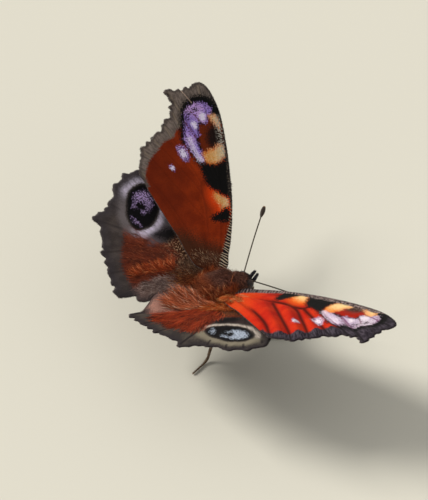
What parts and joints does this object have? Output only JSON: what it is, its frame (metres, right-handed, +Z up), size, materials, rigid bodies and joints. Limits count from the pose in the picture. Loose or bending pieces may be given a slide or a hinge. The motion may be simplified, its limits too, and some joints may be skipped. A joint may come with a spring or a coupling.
{
  "type": "peacock butterfly",
  "caption": "Life-size still model of a peacock butterfly standing with its wings open in a shallow V.",
  "frame": {"origin": "centre of the floor rectangle under the model, at floor level", "axes": "+X to the head, +Y to the butterfly's left, +Z up"},
  "size_m": [0.0288, 0.055, 0.0218],
  "materials": {
    "forewing": "matt, finely scaled membrane",
    "hindwing": "matt, finely scaled membrane",
    "fur": "soft brown hair",
    "eye": "dark and glossy",
    "antenna": "dark brown, ringed",
    "palp": "short dark scales",
    "tongue": "dark horn",
    "leg": "brown, finely scaled"
  },
  "bodies": {
    "root": {"head": "fur", "eye_left": "eye", "eye_right": "eye", "palp_left": "palp", "palp_right": "palp", "antenna_left": "antenna", "antenna_right": "antenna", "tongue": "tongue", "thorax": "fur", "abdomen": "fur", "forewing_left": "forewing", "forewing_right": "forewing", "hindwing_left": "hindwing", "hindwing_right": "hindwing", "foreleg_left": "leg", "foreleg_right": "leg", "midleg_left": "leg", "midleg_right": "leg", "hindleg_left": "leg", "hindleg_right": "leg"}
  },
  "joints": []
}
